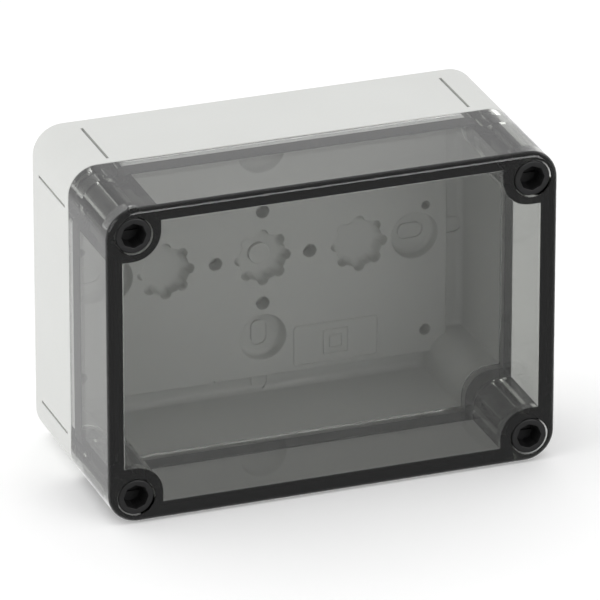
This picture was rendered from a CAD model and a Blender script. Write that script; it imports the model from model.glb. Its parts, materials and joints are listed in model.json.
import json
import math

import bpy
from mathutils import Matrix, Vector


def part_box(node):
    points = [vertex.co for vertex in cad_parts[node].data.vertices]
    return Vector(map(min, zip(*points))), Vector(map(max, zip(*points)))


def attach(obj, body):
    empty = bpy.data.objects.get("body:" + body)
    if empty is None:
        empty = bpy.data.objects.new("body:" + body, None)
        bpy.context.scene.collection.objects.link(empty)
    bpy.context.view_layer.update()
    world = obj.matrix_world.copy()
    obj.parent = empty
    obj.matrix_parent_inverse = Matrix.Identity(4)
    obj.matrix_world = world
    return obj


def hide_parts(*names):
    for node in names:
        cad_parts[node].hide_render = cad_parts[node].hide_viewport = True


# ---- the frame ----

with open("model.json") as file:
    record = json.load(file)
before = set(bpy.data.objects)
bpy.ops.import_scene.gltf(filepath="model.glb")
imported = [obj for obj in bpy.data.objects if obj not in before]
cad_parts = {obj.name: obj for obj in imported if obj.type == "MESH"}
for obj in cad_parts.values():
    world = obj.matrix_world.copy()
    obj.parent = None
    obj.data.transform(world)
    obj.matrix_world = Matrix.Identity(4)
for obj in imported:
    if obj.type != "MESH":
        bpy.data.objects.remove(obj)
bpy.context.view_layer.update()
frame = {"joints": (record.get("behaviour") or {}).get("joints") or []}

base_low, base_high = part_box("base_housing")
lid_low, lid_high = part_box("lid_cover")
WALL_Y = base_high.y
MIDDLE_X = (base_low.x + base_high.x) / 2
MIDDLE_Z = (base_low.z + base_high.z) / 2
MM = 0.001

# Pieces are drawn in millimetres, lying on their back: x across, v up the front
# face, both from the middle of the box, and h out from the wall.
WIDTH = (base_high.x - base_low.x) / MM
HEIGHT = (base_high.z - base_low.z) / MM
DEPTH = (WALL_Y - lid_low.y) / MM
LID_RIM = (WALL_Y - lid_high.y) / MM
CONTACT_GAP = 0.3
BASE_RIM = LID_RIM - CONTACT_GAP
TO_ROW = Matrix((
    (MM, 0, 0, MIDDLE_X),
    (0, 0, -MM, WALL_Y),
    (0, MM, 0, MIDDLE_Z),
    (0, 0, 0, 1),
))

SCREWS = {}
for joint in frame["joints"]:
    if joint["type"] == "hinge":
        corner = joint["name"].replace("screw_turn_", "")
        x, _, z = joint["pos_m"]
        SCREWS[corner] = ((x - MIDDLE_X) / MM, (z - MIDDLE_Z) / MM)
SCREW_X = max(x for x, _ in SCREWS.values())
SCREW_V = max(v for _, v in SCREWS.values())

# ---- dimensions in millimetres: the CAD model's, but for the plaque's rise and the fillets ----

OVERSHOOT = 1  # how far a cutting solid stands past the face that it opens
SHORTFALL = 0.01  # keeps an end's rounding just short of half its side
LEAST_ROUNDING = 0.05
RIM_EDGE = 0.3  # chamfer round the inside of the rims
OUTER_RADIUS = 12
FRONT_ROUNDING = 2.5
BACK_ROUNDING = 1.5
EDGE_CHAMFER = 0.4
EDGE_BEND = 0.12  # middle of the rounded chamfer
COLUMN_RADIUS = 11.2

JOINT_INSET = 5.3
GROOVE_OFFSET = 1.35
GROOVE_WIDTH = 2.1
GROOVE_ROOT = 55
GROOVE_ROUNDING = 0.2
TONGUE_TIP = 47.4
TONGUE_ROUNDING = 0.35
SEAL_CLEARANCE = 0.2
SEAL_BOND = 0.05  # how far the seal stands into the lid, so that no air is left between them
SEAL_ROUNDING = 0.15

BASE_WALL_RIM = 5.5
BASE_WALL_FLOOR = 5.9
CHANNEL_FLOOR = 2.4
FLOOR_FILLET = 2.5
PLATEAU_X = 76.7
PLATEAU_V = 50.7
PLATEAU_TOP = 8
PLATEAU_RADIUS = 1.5
PLATEAU_EDGE = 0.5
FLOOR_THICKNESS = 2.4
POCKET_FLOOR = 2.2
GEAR_FILLET = 2.2
WALL_POCKET_FILLET = 1.6
POCKET_FLARE = 0.3
PILOT_FLARE = 0.2
CUP_WALL = 2
SCREW_BORE_RADIUS = 3.8
SCREW_BORE_BOTTOM = 26

GEAR_POCKETS_X = (-40, 0, 40)
GEAR_ROOT_RADIUS = 9.6
GEAR_LOBES = 8
GEAR_LOBE_CENTRE = 9.4
GEAR_LOBE_RADIUS = 2.2
POST_RADIUS = 4.3
POST_TOP = 4
POST_EDGE = 0.4

WALL_POCKET_RADIUS = 9.6
WALL_POCKETS = ((0, -34.1, True), (0, 39.3, True), (63.2, 0, False), (-63.2, 0, False))
SLOT_LENGTH = 11
SLOT_WIDTH = 7
SLOT_LINE = 0.6
CHANNEL_SLOT_REACH = 8.2

PILOT_HOLES = (
    (19.5, 0, 2.7), (-19.5, 0, 2.7), (0, 19.5, 2.7), (0, -19.5, 2.7),
    (67.8, -41.1, 2.3), (-67.8, -41.1, 2.3), (67.8, 41.1, 2.3), (-67.8, 41.1, 2.3),
    (67.8, 12.2, 1.8), (-67.8, 12.2, 1.8),
)
PILOT_BOTTOM = 1.2

PLAQUE_X, PLAQUE_V = 30.4, -40.1
PLAQUE_WIDTH, PLAQUE_HEIGHT = 35.4, 17.2
PLAQUE_LINE = 0.6
PLAQUE_RISE = 0.6
PLAQUE_EDGE = 0.1
PLAQUE_ROOT = 0.5
PLAQUE_FRAMES = (  # half sizes and corner radius
    (PLAQUE_WIDTH / 2, PLAQUE_HEIGHT / 2, 1.6), (5.4, 5.4, 0.8), (2.8, 2.8, 0.8),
)

NOTCH_X, NOTCH_WIDTH, NOTCH_DEPTH, NOTCH_TOP = -22, 4, 1, 1.6

SIDE_GROOVE_INSET = 17.5
SIDE_GROOVE_WIDTH = 1.2
SIDE_GROOVE_DEPTH = 2.4
SIDE_GROOVE_BACK = 8.5
SIDE_GROOVE_FRONT = 39.8
SIDE_GROOVE_CORNER = 0.3

WINDOW_THICKNESS = 2.8
LID_WALL_JOINT = 6.2
LID_WALL_FRONT = 6.5
LID_FILLET = 0.4
LID_CORNER = 0.3
GATE_X, GATE_WIDTH, GATE_RISE, GATE_LENGTH = -80.4, 3.2, 0.8, 2.6
GATE_ROOT, GATE_SETBACK, GATE_CORNER = 1.5, 0.8, 0.3

COUNTERBORE_RADIUS = 7.6
COUNTERBORE_FLOOR = 80.3
COLUMN_BORE_RADIUS = 3.9
RING_RECESS_RADIUS = 5.4
RING_RECESS_TOP = 54.4
HEAD_RADIUS = 7.2
HEAD_BOTTOM = 80.6
HEAD_TOP = 89.7
HEAD_ROUNDING = 0.7
HEAD_EDGE = 0.3
DRIVE_RADIUS = 4.95
DRIVE_SIDES = 8
DRIVE_CORNER = 0.985  # how far the rounded corners reach, of the sharp ones
DRIVE_FLOOR = 82.2
SLOT_BLADE_WIDTH = 1.6
SLOT_BLADE_SETBACK = 0.7
SLOT_BLADE_FLOOR = 81.2
SHANK_RADIUS = 3.5
CORE_RADIUS = 2.5
RING_GROOVE_TOP = 46.4
RING_GROOVE_BOTTOM = 44.4
THREAD_TOP = 43.6
SCREW_TIP = 34.5
TIP_TAPER, TIP_LENGTH = 0.6, 0.8
THREAD_PITCH = 4
THREAD_SUNK = 0.4
THREAD_FOOT, THREAD_CREST = 1, 0.3  # half widths of the ridge
RING_RADIUS = 5
RING_THICKNESS = 1.4
RING_EDGE = 0.3

CORNER_STEPS = 14
SMALL_CORNER = 0.8

CAMERA_AZIMUTH = math.radians(-20)
CAMERA_ELEVATION = math.radians(24)
CAMERA_DISTANCE = 3.132
CAMERA_LENS = 487.5
AIM_RIGHT, AIM_DOWN = 2.2, 2.8


# ---- outlines ----

def outline(corners, grow=0.0, steps=CORNER_STEPS):
    """Right-angled outline, each corner rounded, moved outwards by grow."""
    points = []
    count = len(corners)
    for i, (x, v, radius) in enumerate(corners):
        before, after = corners[i - 1], corners[(i + 1) % count]
        into = Vector((x - before[0], v - before[1])).normalized()
        out = Vector((after[0] - x, after[1] - v)).normalized()
        turn = 1 if into.cross(out) > 0 else -1
        into_normal = Vector((into.y, -into.x))
        out_normal = Vector((out.y, -out.x))
        rounding = max(radius + grow * turn, LEAST_ROUNDING)
        diagonal = into_normal + out_normal
        centre = Vector((x, v)) + grow * diagonal - rounding * turn * diagonal
        start = math.atan2(turn * into_normal.y, turn * into_normal.x)
        for k in range(steps + 1):
            angle = start + turn * k / steps * math.pi / 2
            points.append((
                centre.x + rounding * math.cos(angle),
                centre.y + rounding * math.sin(angle),
            ))
    return points


def rectangle(half_x, half_v, radius, x=0.0, v=0.0):
    """Corners of a rounded rectangle, for outline."""
    return [
        (x - half_x, v - half_v, radius),
        (x + half_x, v - half_v, radius),
        (x + half_x, v + half_v, radius),
        (x - half_x, v + half_v, radius),
    ]


def chamber(inset, corner=SMALL_CORNER):
    """Inside of the box between the four corner columns."""
    side_x, side_v = WIDTH / 2 - inset, HEIGHT / 2 - inset
    column_x, column_v = SCREW_X - COLUMN_RADIUS, SCREW_V - COLUMN_RADIUS
    quarter = [
        (column_x, -side_v, corner), (column_x, -column_v, COLUMN_RADIUS), (side_x, -column_v, corner),
    ]
    right = quarter + [(x, -v, r) for x, v, r in reversed(quarter)]
    return right + [(-x, -v, r) for x, v, r in right]


def circle(radius, sides, x=0.0, v=0.0):
    return [
        (x + radius * math.cos(2 * math.pi * i / sides), v + radius * math.sin(2 * math.pi * i / sides))
        for i in range(sides)
    ]


def polar(radius_at, sides, x=0.0, v=0.0):
    """Closed line about a centre, at a radius that depends on the angle."""
    points = []
    for i in range(sides):
        angle = 2 * math.pi * i / sides
        radius = radius_at(angle)
        points.append((x + radius * math.cos(angle), v + radius * math.sin(angle)))
    return points


def gear_radius(angle):
    """Circle with round lobes about it."""
    step = 2 * math.pi / GEAR_LOBES
    off = (angle + step / 2) % step - step / 2
    across = GEAR_LOBE_CENTRE * math.sin(off)
    if abs(across) >= GEAR_LOBE_RADIUS:
        return GEAR_ROOT_RADIUS
    reach = GEAR_LOBE_CENTRE * math.cos(off) + math.sqrt(GEAR_LOBE_RADIUS ** 2 - across ** 2)
    return max(GEAR_ROOT_RADIUS, reach)


def gear_section(angle, grow):
    """The same, grown or shrunk. The lobes fade as it shrinks towards the floor."""
    lobe = gear_radius(angle) - GEAR_ROOT_RADIUS
    return GEAR_ROOT_RADIUS + grow + lobe * (1 - max(-grow, 0) / GEAR_FILLET)


# ---- solids ----

def loft(rings, closed=False):
    """Skin through rings of equal length, each a list of points and its height."""
    size = len(rings[0][0])
    verts = [(x, v, h) for points, h in rings for x, v in points]
    faces = []
    last = len(rings) if closed else len(rings) - 1
    for ring in range(last):
        low = ring * size
        high = (ring + 1) % len(rings) * size
        for i in range(size):
            j = (i + 1) % size
            faces.append((low + i, low + j, high + j, high + i))
    if not closed:
        top = (len(rings) - 1) * size
        faces.append(tuple(reversed(range(size))))
        faces.append(tuple(range(top, top + size)))
    return verts, faces


def together(parts):
    """Several parts as one, without joining their surfaces."""
    verts, faces = [], []
    for part_verts, part_faces in parts:
        start = len(verts)
        verts += part_verts
        faces += [tuple(start + i for i in face) for face in part_faces]
    return verts, faces


def prism(corners, h0, h1, steps=6):
    """Upright solid from h0 to h1 on a rounded outline."""
    points = outline(corners, 0, steps)
    return loft([(points, h0), (points, h1)])


def turned(x, v, profile, sides=64):
    """Round solid from (radius, height) pairs."""
    return loft([(circle(radius, sides, x, v), h) for radius, h in profile])


def block(x0, x1, v0, v1, h0, h1):
    points = [(x0, v0), (x1, v0), (x1, v1), (x0, v1)]
    return loft([(points, h0), (points, h1)])


def quarter_round(radius, h_end, direction, steps=7):
    """(height, inset) pairs of a rounded edge that ends in the face at h_end."""
    pairs = []
    for i in range(steps + 1):
        angle = i / steps * math.pi / 2
        pairs.append((h_end - direction * radius * (1 - math.sin(angle)), radius * (1 - math.cos(angle))))
    return pairs


def build(name, part):
    mesh = bpy.data.meshes.new(name)
    mesh.from_pydata(part[0], [], part[1])
    mesh.update()
    obj = bpy.data.objects.new(name, mesh)
    bpy.context.scene.collection.objects.link(obj)
    return obj


def remove(obj):
    mesh = obj.data
    bpy.data.objects.remove(obj)
    bpy.data.meshes.remove(mesh)


def taken_back(obj):
    """An object's points and faces as a plain part. The object is removed."""
    mesh = obj.data
    part = [tuple(vertex.co) for vertex in mesh.vertices], [tuple(face.vertices) for face in mesh.polygons]
    remove(obj)
    return part


def combine(obj, part, operation):
    """Adds or cuts away a solid, and keeps the result as the object's mesh."""
    tool = build("tool", part)
    modifier = obj.modifiers.new("combine", "BOOLEAN")
    modifier.solver = "MANIFOLD"
    modifier.operation = operation
    modifier.object = tool
    graph = bpy.context.evaluated_depsgraph_get()
    result = bpy.data.meshes.new_from_object(obj.evaluated_get(graph))
    obj.modifiers.clear()
    old = obj.data
    obj.data = result
    bpy.data.meshes.remove(old)
    remove(tool)


def cut(obj, *parts):
    for part in parts:
        combine(obj, part, "DIFFERENCE")


def add(obj, *parts):
    for part in parts:
        combine(obj, part, "UNION")


def finish_piece(obj, name, node, body, material, angle=34):
    """Stands a piece up in the row frame, shades it and puts it in its node's place."""
    obj.name = name
    mesh = obj.data
    mesh.name = name
    mesh.transform(TO_ROW)
    mesh.materials.clear()
    mesh.materials.append(material)
    mesh.polygons.foreach_set("material_index", [0] * len(mesh.polygons))
    mesh.shade_smooth()
    mesh.set_sharp_from_angle(angle=math.radians(angle))
    normals = obj.modifiers.new("normals", "WEIGHTED_NORMAL")
    normals.keep_sharp = True
    normals.weight = 80
    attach(obj, body)
    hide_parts(node)
    return obj


# ---- materials ----

def nodes_of(name):
    """New material, with its node tree, shader and output."""
    material = bpy.data.materials.new(name)
    material.use_nodes = True
    tree = material.node_tree
    return material, tree, tree.nodes["Principled BSDF"], tree.nodes["Material Output"]


def noise(tree, scale, detail=3.0, roughness=0.5):
    """Noise fixed to the piece. The scale is in waves to the metre."""
    place = tree.nodes.get("Place") or tree.nodes.new("ShaderNodeTexCoord")
    place.name = "Place"
    node = tree.nodes.new("ShaderNodeTexNoise")
    node.inputs["Scale"].default_value = scale
    node.inputs["Detail"].default_value = detail
    node.inputs["Roughness"].default_value = roughness
    tree.links.new(place.outputs["Object"], node.inputs["Vector"])
    return node.outputs["Fac"]


def spread(tree, value, low, high, from_low=0.3, from_high=0.7):
    """Maps a value from one span to another, and holds it at the ends."""
    node = tree.nodes.new("ShaderNodeMapRange")
    node.inputs["From Min"].default_value = from_low
    node.inputs["From Max"].default_value = from_high
    node.inputs["To Min"].default_value = low
    node.inputs["To Max"].default_value = high
    tree.links.new(value, node.inputs["Value"])
    return node.outputs["Result"]


def two_tone(tree, value, first, second):
    ramp = tree.nodes.new("ShaderNodeValToRGB")
    ramp.color_ramp.elements[0].position = 0.3
    ramp.color_ramp.elements[0].color = (*first, 1)
    ramp.color_ramp.elements[1].position = 0.7
    ramp.color_ramp.elements[1].color = (*second, 1)
    tree.links.new(value, ramp.inputs["Fac"])
    return ramp.outputs["Color"]


def bump(tree, shader, height, strength, distance, under=None):
    node = tree.nodes.new("ShaderNodeBump")
    node.inputs["Strength"].default_value = strength
    node.inputs["Distance"].default_value = distance
    tree.links.new(height, node.inputs["Height"])
    if under is not None:
        tree.links.new(under, node.inputs["Normal"])
    tree.links.new(node.outputs["Normal"], shader.inputs["Normal"])
    return node.outputs["Normal"]


def grey_plastic():
    material, tree, shader, _ = nodes_of("grey_plastic")
    tone = two_tone(tree, noise(tree, 22, 4), (0.675, 0.683, 0.662), (0.70, 0.708, 0.688))
    tree.links.new(tone, shader.inputs["Base Color"])
    tree.links.new(spread(tree, noise(tree, 900, 3), 0.40, 0.52), shader.inputs["Roughness"])
    shader.inputs["Specular IOR Level"].default_value = 0.45
    flow = bump(tree, shader, noise(tree, 45, 2), 0.05, 0.0006)
    bump(tree, shader, noise(tree, 2600, 3, 0.6), 0.16, 0.00006, flow)
    return material


def smoked_plastic():
    """Clear plastic that darkens with the length of the way through it."""
    material, tree, shader, output = nodes_of("smoked_plastic")
    shader.inputs["Base Color"].default_value = (1, 1, 1, 1)
    shader.inputs["Transmission Weight"].default_value = 1.0
    shader.inputs["IOR"].default_value = 1.58
    tree.links.new(spread(tree, noise(tree, 60, 3), 0.015, 0.035), shader.inputs["Roughness"])
    bump(tree, shader, noise(tree, 38, 2), 0.004, 0.0004)
    absorb = tree.nodes.new("ShaderNodeVolumeAbsorption")
    absorb.inputs["Color"].default_value = (0.535, 0.545, 0.52, 1)
    absorb.inputs["Density"].default_value = 176
    tree.links.new(absorb.outputs["Volume"], output.inputs["Volume"])
    return material


def black_polyamide(name, level, low, high):
    """Black moulded plastic, satin on the head's face and duller further in."""
    material, tree, shader, _ = nodes_of(name)
    dark, pale = (level,) * 3, (level * 1.5, level * 1.5, level * 1.6)
    tone = two_tone(tree, noise(tree, 320, 4), dark, pale)
    tree.links.new(tone, shader.inputs["Base Color"])
    grain = spread(tree, noise(tree, 700, 4), low, high)
    axes = tree.nodes.new("ShaderNodeSeparateXYZ")
    tree.links.new(tree.nodes["Place"].outputs["Object"], axes.inputs["Vector"])
    head_face = WALL_Y - HEAD_TOP * MM
    dullness = spread(tree, axes.outputs["Y"], 0, 0.35, head_face + 0.6 * MM, head_face + 1.6 * MM)
    total = tree.nodes.new("ShaderNodeMath")
    tree.links.new(grain, total.inputs[0])
    tree.links.new(dullness, total.inputs[1])
    tree.links.new(total.outputs["Value"], shader.inputs["Roughness"])
    bump(tree, shader, noise(tree, 2400, 4, 0.6), 0.25, 0.00008)
    return material


def seal_foam():
    material, tree, shader, _ = nodes_of("seal_foam")
    cells = tree.nodes.new("ShaderNodeTexVoronoi")
    cells.inputs["Scale"].default_value = 2600
    grain = noise(tree, 900, 5, 0.7)
    tree.links.new(tree.nodes["Place"].outputs["Object"], cells.inputs["Vector"])
    tone = two_tone(tree, grain, (0.065, 0.065, 0.065), (0.095, 0.095, 0.095))
    tree.links.new(tone, shader.inputs["Base Color"])
    shader.inputs["Roughness"].default_value = 0.9
    bump(tree, shader, cells.outputs["Distance"], 0.5, 0.0002)
    return material


# ---- base ----

def base_piece(material):
    outer = rectangle(WIDTH / 2, HEIGHT / 2, OUTER_RADIUS)
    sections = [(h, -inset) for h, inset in reversed(quarter_round(BACK_ROUNDING, 0, -1))]
    sections += [(BASE_RIM - EDGE_CHAMFER, 0), (BASE_RIM - EDGE_BEND, -EDGE_BEND)]
    sections.append((BASE_RIM, -EDGE_CHAMFER))
    base = build("base", loft([(outline(outer, grow), h) for h, grow in sections]))

    wall = chamber(BASE_WALL_FLOOR)
    fillet = reversed(quarter_round(FLOOR_FILLET, CHANNEL_FLOOR, -1))
    rings = [(outline(wall, -inset), h) for h, inset in fillet]
    rim = chamber(BASE_WALL_RIM)
    mouth = outline(rim, RIM_EDGE)
    rings += [(outline(rim), BASE_RIM - RIM_EDGE), (mouth, BASE_RIM), (mouth, BASE_RIM + OVERSHOOT)]
    cut(base, loft(rings))

    plateau = rectangle(PLATEAU_X, PLATEAU_V, PLATEAU_RADIUS)
    buried = 1  # the raised floor starts inside the channel's floor
    rings = [(outline(plateau), buried)]
    edge = quarter_round(PLATEAU_EDGE, PLATEAU_TOP, 1, 4)
    rings += [(outline(plateau, -inset), h) for h, inset in edge]
    add(base, loft(rings))
    cut(base, back_hollow())

    pockets = [gear_pocket(x) for x in GEAR_POCKETS_X]
    pockets += [wall_pocket(x, v) for x, v, _ in WALL_POCKETS]
    pockets += [pilot_hole(x, v, radius) for x, v, radius in PILOT_HOLES]
    pockets.append(block(
        NOTCH_X - NOTCH_WIDTH / 2, NOTCH_X + NOTCH_WIDTH / 2,
        -PLATEAU_V - OVERSHOOT, -PLATEAU_V + NOTCH_DEPTH,
        PLATEAU_TOP - NOTCH_TOP, PLATEAU_TOP + OVERSHOOT,
    ))
    cut(base, together(pockets), together(slot_lines()))

    edge = quarter_round(POST_EDGE, POST_TOP, 1, 4)
    post = [(POST_RADIUS, POCKET_FLOOR - OVERSHOOT)] + [(POST_RADIUS - inset, h) for h, inset in edge]
    tongue = joint_ring(
        GROOVE_OFFSET + SEAL_CLEARANCE, GROOVE_OFFSET + GROOVE_WIDTH - SEAL_CLEARANCE,
        BASE_RIM - OVERSHOOT, TONGUE_TIP, TONGUE_ROUNDING,
    )
    add(base, turned(0, 0, post), together(plaque()), tongue)
    cut(base, together(side_grooves() + [screw_bore(x, v) for x, v in SCREWS.values()]))
    return finish_piece(base, "base_shell", "base_housing", "base", material)


def back_hollow():
    """Hollow behind the raised middle, with the cups and pillars left standing."""
    hollow = build("hollow", prism(
        rectangle(PLATEAU_X - FLOOR_THICKNESS, PLATEAU_V - FLOOR_THICKNESS, 2),
        -OVERSHOOT, PLATEAU_TOP - FLOOR_THICKNESS,
    ))
    gear_cup = GEAR_LOBE_CENTRE + GEAR_LOBE_RADIUS + CUP_WALL
    cups = [(x, 0, gear_cup) for x in GEAR_POCKETS_X]
    cups += [(x, v, WALL_POCKET_RADIUS + CUP_WALL) for x, v, _ in WALL_POCKETS]
    cups += [(x, v, radius + CUP_WALL) for x, v, radius in PILOT_HOLES]
    for x, v, radius in cups:
        cut(hollow, turned(x, v, [(radius, -2 * OVERSHOOT), (radius, PLATEAU_TOP)], 48))
    for x, v in SCREWS.values():
        reach_x, reach_v = math.copysign(COLUMN_RADIUS, x), math.copysign(COLUMN_RADIUS, v)
        x0, x1 = sorted((x - reach_x, x + reach_x))
        v0, v1 = sorted((v - reach_v, v + reach_v))
        half_x, half_v = (x1 - x0) / 2, (v1 - v0) / 2
        corners = rectangle(half_x, half_v, COLUMN_RADIUS - SHORTFALL, (x0 + x1) / 2, (v0 + v1) / 2)
        cut(hollow, prism(corners, -2 * OVERSHOOT, PLATEAU_TOP, 12))
    return taken_back(hollow)


def gear_pocket(x):
    """Lobed at the mouth, and round where its fillet meets the floor."""
    rings = [(h, -inset) for h, inset in reversed(quarter_round(GEAR_FILLET, POCKET_FLOOR, -1))]
    rings += [(PLATEAU_TOP - POCKET_FLARE, 0), (PLATEAU_TOP, POCKET_FLARE)]
    rings.append((PLATEAU_TOP + OVERSHOOT, POCKET_FLARE))
    return loft([
        (polar(lambda angle, grow=grow: gear_section(angle, grow), 192, x, 0), h) for h, grow in rings
    ])


def flared_hole(x, v, foot, radius, flare, sides):
    """Round hole in the raised floor. The foot is its profile at the bottom."""
    mouth = radius + flare
    top = [(radius, PLATEAU_TOP - flare), (mouth, PLATEAU_TOP), (mouth, PLATEAU_TOP + OVERSHOOT)]
    return turned(x, v, foot + top, sides)


def wall_pocket(x, v):
    fillet = reversed(quarter_round(WALL_POCKET_FILLET, POCKET_FLOOR, -1))
    foot = [(WALL_POCKET_RADIUS - inset, h) for h, inset in fillet]
    return flared_hole(x, v, foot, WALL_POCKET_RADIUS, POCKET_FLARE, 72)


def pilot_hole(x, v, radius):
    return flared_hole(x, v, [(radius, PILOT_BOTTOM)], radius, PILOT_FLARE, 32)


def slot_line(x, v, length, width, floor, upright):
    """Closed groove that marks out an oblong slot on a floor."""
    size = (width, length) if upright else (length, width)

    def ring(inset):
        half_x, half_v = size[0] / 2 - inset, size[1] / 2 - inset
        return outline(rectangle(half_x, half_v, min(half_x, half_v) - SHORTFALL, x, v), 0, 10)

    outer, inner = ring(0), ring(SLOT_LINE)
    bottom, top = floor - SLOT_LINE, floor + SLOT_LINE
    return loft([(outer, bottom), (outer, top), (inner, top), (inner, bottom)], closed=True)


def slot_lines():
    """Marked-out slots in the wall pockets and, cut short by the raised floor, in the channel."""
    lines = [
        slot_line(x, v, SLOT_LENGTH, SLOT_WIDTH, POCKET_FLOOR, upright) for x, v, upright in WALL_POCKETS
    ]
    length = 2 * CHANNEL_SLOT_REACH
    marks = build("marks", together([
        slot_line(0, PLATEAU_V, length, SLOT_WIDTH, CHANNEL_FLOOR, True),
        slot_line(0, -PLATEAU_V, length, SLOT_WIDTH, CHANNEL_FLOOR, True),
        slot_line(PLATEAU_X, 0, length, SLOT_WIDTH, CHANNEL_FLOOR, False),
        slot_line(-PLATEAU_X, 0, length, SLOT_WIDTH, CHANNEL_FLOOR, False),
    ]))
    cut(marks, block(-PLATEAU_X, PLATEAU_X, -PLATEAU_V, PLATEAU_V, -2 * OVERSHOOT, DEPTH))
    return lines + [taken_back(marks)]


def plaque():
    """Raised frame with two nested squares."""
    frames = []
    top, bottom = PLATEAU_TOP + PLAQUE_RISE, PLATEAU_TOP - PLAQUE_ROOT
    profile = [
        (0, bottom), (0, top - PLAQUE_EDGE), (-PLAQUE_EDGE, top), (PLAQUE_EDGE - PLAQUE_LINE, top),
        (-PLAQUE_LINE, top - PLAQUE_EDGE), (-PLAQUE_LINE, bottom),
    ]
    for half_x, half_v, radius in PLAQUE_FRAMES:
        corners = rectangle(half_x, half_v, radius, PLAQUE_X, PLAQUE_V)
        frames.append(loft([(outline(corners, grow, 6), h) for grow, h in profile], closed=True))
    return frames


def joint_ring(inner, outer, h0, h1, rounding):
    """Ring along the joint and round the inside of the corner columns."""
    line = chamber(JOINT_INSET)
    edge = quarter_round(rounding, h1, 1, 4)
    profile = [(outer, h0)]
    profile += [(outer - inset, h) for h, inset in edge]
    profile += [(inner + inset, h) for h, inset in reversed(edge)]
    profile.append((inner, h0))
    return loft([(outline(line, grow), h) for grow, h in profile], closed=True)


def side_grooves():
    """Narrow grooves in the four outer sides, near their ends."""
    half = SIDE_GROOVE_WIDTH / 2
    x, v = WIDTH / 2 - SIDE_GROOVE_INSET, HEIGHT / 2 - SIDE_GROOVE_INSET
    grooves = []
    for side in (-1, 1):
        for place in (-1, 1):
            across = rectangle(half, SIDE_GROOVE_DEPTH, SIDE_GROOVE_CORNER, place * x, side * HEIGHT / 2)
            upright = rectangle(SIDE_GROOVE_DEPTH, half, SIDE_GROOVE_CORNER, side * WIDTH / 2, place * v)
            for corners in (across, upright):
                grooves.append(prism(corners, SIDE_GROOVE_BACK, SIDE_GROOVE_FRONT))
    return grooves


def screw_bore(x, v):
    mouth = SCREW_BORE_RADIUS + EDGE_CHAMFER
    return turned(x, v, [
        (SCREW_BORE_RADIUS, SCREW_BORE_BOTTOM), (SCREW_BORE_RADIUS, BASE_RIM - EDGE_CHAMFER),
        (mouth, BASE_RIM), (mouth, BASE_RIM + 2 * OVERSHOOT),
    ], 48)


# ---- lid ----

def lid_piece(material):
    outer = rectangle(WIDTH / 2, HEIGHT / 2, OUTER_RADIUS)
    sections = [(LID_RIM, -EDGE_CHAMFER), (LID_RIM + EDGE_BEND, -EDGE_BEND), (LID_RIM + EDGE_CHAMFER, 0)]
    sections += [(h, -inset) for h, inset in quarter_round(FRONT_ROUNDING, DEPTH, 1, 10)]
    lid = build("lid", loft([(outline(outer, grow), h) for h, grow in sections]))
    gate_v = HEIGHT / 2 + (GATE_RISE - GATE_ROOT) / 2
    gate = rectangle(GATE_WIDTH / 2, (GATE_RISE + GATE_ROOT) / 2, GATE_CORNER, GATE_X, gate_v)
    add(lid, prism(gate, DEPTH - GATE_LENGTH, DEPTH - GATE_SETBACK, 4))

    ceiling = DEPTH - WINDOW_THICKNESS
    joint, front = chamber(LID_WALL_JOINT, LID_CORNER), chamber(LID_WALL_FRONT, LID_CORNER)
    mouth, bend = outline(joint, RIM_EDGE), 0.3 * RIM_EDGE
    rings = [
        (mouth, LID_RIM - OVERSHOOT), (mouth, LID_RIM),
        (outline(joint, bend), LID_RIM + bend), (outline(joint), LID_RIM + RIM_EDGE),
    ]
    rings += [(outline(front, -inset), h) for h, inset in quarter_round(LID_FILLET, ceiling, 1, 5)]
    cut(lid, loft(rings))
    cut(lid, joint_ring(
        GROOVE_OFFSET, GROOVE_OFFSET + GROOVE_WIDTH,
        LID_RIM - OVERSHOOT, GROOVE_ROOT, GROOVE_ROUNDING,
    ))
    cut(lid, together([screw_hole(x, v) for x, v in SCREWS.values()]))
    return finish_piece(lid, "lid_shell", "lid_cover", "lid", material)


def screw_hole(x, v):
    """Ring recess, bore and counterbore of one column."""
    edge = 0.25
    return turned(x, v, [
        (RING_RECESS_RADIUS, LID_RIM - OVERSHOOT), (RING_RECESS_RADIUS, RING_RECESS_TOP),
        (COLUMN_BORE_RADIUS, RING_RECESS_TOP), (COLUMN_BORE_RADIUS, COUNTERBORE_FLOOR),
        (COUNTERBORE_RADIUS, COUNTERBORE_FLOOR), (COUNTERBORE_RADIUS, DEPTH - edge),
        (COUNTERBORE_RADIUS + edge * 0.3, DEPTH - edge * 0.3), (COUNTERBORE_RADIUS + edge, DEPTH),
        (COUNTERBORE_RADIUS + edge, DEPTH + OVERSHOOT),
    ], 72)


def seal_piece(material):
    """Seal moulded into its groove, with no air between them."""
    seal = build("seal", joint_ring(
        GROOVE_OFFSET - SEAL_BOND, GROOVE_OFFSET + GROOVE_WIDTH + SEAL_BOND,
        TONGUE_TIP + CONTACT_GAP, GROOVE_ROOT + SEAL_BOND, SEAL_ROUNDING,
    ))
    return finish_piece(seal, "seal_strip", "lid_gasket", "lid", material)


# ---- screws and rings ----

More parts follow.
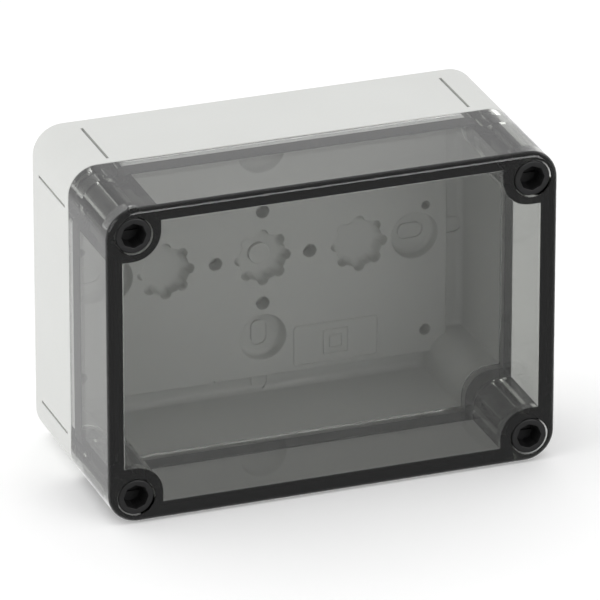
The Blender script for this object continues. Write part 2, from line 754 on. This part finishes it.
def thread_ridge(h0, h1):
    """Helical ridge about the screw's axis, with its root sunk into the core."""
    steps = 36
    count = round((h1 - h0 - 2 * THREAD_FOOT) / THREAD_PITCH * steps)
    root = CORE_RADIUS - THREAD_SUNK
    section = (
        (root, -THREAD_FOOT), (SHANK_RADIUS, -THREAD_CREST),
        (SHANK_RADIUS, THREAD_CREST), (root, THREAD_FOOT),
    )
    verts = []
    for i in range(count + 1):
        angle = i / steps * 2 * math.pi
        middle = h0 + THREAD_FOOT + i / steps * THREAD_PITCH
        verts += [(r * math.cos(angle), r * math.sin(angle), middle + rise) for r, rise in section]
    faces = []
    for i in range(count):
        for k in range(4):
            a, b = 4 * i + k, 4 * i + (k + 1) % 4
            faces.append((a, a + 4, b + 4, b))
    end = 4 * count
    faces += [(0, 1, 2, 3), (end + 3, end + 2, end + 1, end)]
    return verts, faces


def drive_radius(angle):
    """Eight-sided hollow with slightly rounded corners."""
    step = 2 * math.pi / DRIVE_SIDES
    off = (angle + step / 2) % step - step / 2
    flat = DRIVE_RADIUS * math.cos(step / 2)
    sharp = flat / math.cos(step / 2 - abs(off))
    return min(sharp, DRIVE_RADIUS * DRIVE_CORNER)


def screw_shape():
    """One screw about the origin, from its tip round the head and down into the hollow."""
    sides = 96

    def ring(radius):
        return circle(radius, sides)

    def hollow(grow):
        return polar(lambda angle: drive_radius(angle) + grow, sides)

    rings = [(ring(CORE_RADIUS - TIP_TAPER), SCREW_TIP), (ring(CORE_RADIUS), SCREW_TIP + TIP_LENGTH)]
    rings += [(ring(CORE_RADIUS), RING_GROOVE_TOP), (ring(SHANK_RADIUS), RING_GROOVE_TOP)]
    rings += [(ring(SHANK_RADIUS), HEAD_BOTTOM), (ring(HEAD_RADIUS - HEAD_EDGE), HEAD_BOTTOM)]
    rings += [(ring(HEAD_RADIUS), HEAD_BOTTOM + HEAD_EDGE)]
    rings += [(ring(HEAD_RADIUS - inset), h) for h, inset in quarter_round(HEAD_ROUNDING, HEAD_TOP, 1, 6)]
    rings += [(hollow(0.35), HEAD_TOP), (hollow(0.12), HEAD_TOP - 0.1), (hollow(0), HEAD_TOP - 0.35)]
    rings += [(hollow(-0.25), DRIVE_FLOOR + 0.25), (hollow(-0.5), DRIVE_FLOOR)]
    screw = build("screw", loft(rings))
    collar = turned(0, 0, [(SHANK_RADIUS, THREAD_TOP), (SHANK_RADIUS, RING_GROOVE_BOTTOM)], 48)
    add(screw, collar, thread_ridge(SCREW_TIP + TIP_TAPER, THREAD_TOP))
    blade = rectangle(DRIVE_RADIUS - SLOT_BLADE_SETBACK, SLOT_BLADE_WIDTH / 2, 0.2)
    cut(screw, prism(blade, SLOT_BLADE_FLOOR, DRIVE_FLOOR + OVERSHOOT, 4))
    return screw


def ring_profile():
    """Retaining ring's section, in the middle of the screw's neck."""
    bottom = (RING_GROOVE_TOP + RING_GROOVE_BOTTOM - RING_THICKNESS) / 2
    inner = CORE_RADIUS + CONTACT_GAP
    top = bottom + RING_THICKNESS
    bend = RING_EDGE / 3
    return [
        (RING_RADIUS - RING_EDGE, bottom), (RING_RADIUS - bend, bottom + bend),
        (RING_RADIUS, bottom + RING_EDGE), (RING_RADIUS, top - RING_EDGE),
        (RING_RADIUS - bend, top - bend), (RING_RADIUS - RING_EDGE, top),
        (inner + bend, top), (inner, top - bend), (inner, bottom + bend), (inner + bend, bottom),
    ]


def screw_pieces(screw_material, ring_material):
    shape = screw_shape()
    for corner, (x, v) in SCREWS.items():
        screw = bpy.data.objects.new("screw", shape.data.copy())
        bpy.context.scene.collection.objects.link(screw)
        screw.data.transform(Matrix.Translation((x, v, 0)))
        finish_piece(
            screw, f"screw_{corner}", f"lid_screw_{corner}", f"screw_{corner}",
            screw_material, 30,
        )
        ring = build("ring", loft([(circle(r, 64, x, v), h) for r, h in ring_profile()], closed=True))
        finish_piece(
            ring, f"ring_{corner}", f"retaining_ring_{corner}", f"ring_{corner}",
            ring_material, 30,
        )
    remove(shape)


# ---- studio ----

def aim(obj, target):
    direction = Vector(target) - obj.location
    obj.rotation_euler = direction.to_track_quat("-Z", "Y").to_euler()


def area_light(name, position, target, size, power):
    data = bpy.data.lights.new(name, "AREA")
    data.shape = "RECTANGLE"
    data.size, data.size_y = size
    data.energy = power
    light = bpy.data.objects.new(name, data)
    bpy.context.scene.collection.objects.link(light)
    light.location = position
    aim(light, target)
    return light


def studio():
    """White room that is darker at the front, a pale floor and three soft lights."""
    scene = bpy.context.scene
    scene.view_settings.view_transform = "Standard"
    world = bpy.data.worlds.new("soft_room")
    world.use_nodes = True
    tree = world.node_tree
    background = tree.nodes["Background"]
    background.inputs["Color"].default_value = (1, 1, 1, 1)
    direction = tree.nodes.new("ShaderNodeTexCoord")
    axes = tree.nodes.new("ShaderNodeSeparateXYZ")
    tree.links.new(direction.outputs["Generated"], axes.inputs["Vector"])
    strength = spread(tree, axes.outputs["Y"], 0.43, 1.06, -0.2, 0.5)
    tree.links.new(strength, background.inputs["Strength"])
    scene.world = world

    reach, level = 20, -0.3 * MM  # a thread of air keeps the floor's light out of the smoked plastic
    corners = [(x * reach, y * reach, level) for x, y in ((-1, -1), (1, -1), (1, 1), (-1, 1))]
    floor = build("floor", (corners, [(0, 1, 2, 3)]))
    material, tree, shader, _ = nodes_of("floor")
    tone = two_tone(tree, noise(tree, 3, 2), (0.94, 0.94, 0.94), (0.96, 0.96, 0.96))
    tree.links.new(tone, shader.inputs["Base Color"])
    shader.inputs["Emission Color"].default_value = (1, 1, 1, 1)
    shader.inputs["Emission Strength"].default_value = 0.16
    shader.inputs["Roughness"].default_value = 0.85
    floor.data.materials.append(material)
    floor.visible_glossy = False

    middle = (MIDDLE_X, 0, MIDDLE_Z)
    key = area_light("key", (-0.2, -0.3, 2.0), middle, (2.6, 1.0), 10)
    key.visible_glossy = False
    area_light("front", (1.1, -2.4, 0.8), middle, (1.8, 1.2), 22)
    area_light("left", (-1.9, -0.3, 0.9), middle, (1.2, 1.4), 7)


def camera():
    """Long lens from the upper left, aimed a little beside the box's middle."""
    level = math.cos(CAMERA_ELEVATION)
    back = Vector((
        math.sin(CAMERA_AZIMUTH) * level, -math.cos(CAMERA_AZIMUTH) * level, math.sin(CAMERA_ELEVATION),
    ))
    side = Vector((math.cos(CAMERA_AZIMUTH), math.sin(CAMERA_AZIMUTH), 0))
    up = side.cross(-back)
    centre = Vector((MIDDLE_X, (WALL_Y + lid_low.y) / 2, MIDDLE_Z))
    data = bpy.data.cameras.new("camera")
    data.lens = CAMERA_LENS
    data.clip_start, data.clip_end = 0.05, 100
    eye = bpy.data.objects.new("camera", data)
    bpy.context.scene.collection.objects.link(eye)
    eye.location = centre + back * CAMERA_DISTANCE
    aim(eye, centre + side * AIM_RIGHT * MM - up * AIM_DOWN * MM)
    bpy.context.scene.camera = eye


camera()
studio()
base_piece(grey_plastic())
lid_piece(smoked_plastic())
seal_piece(seal_foam())
screw_pieces(
    black_polyamide("black_polyamide", 0.006, 0.34, 0.46),
    black_polyamide("ring_nylon", 0.020, 0.38, 0.5),
)

bpy.context.view_layer.update()
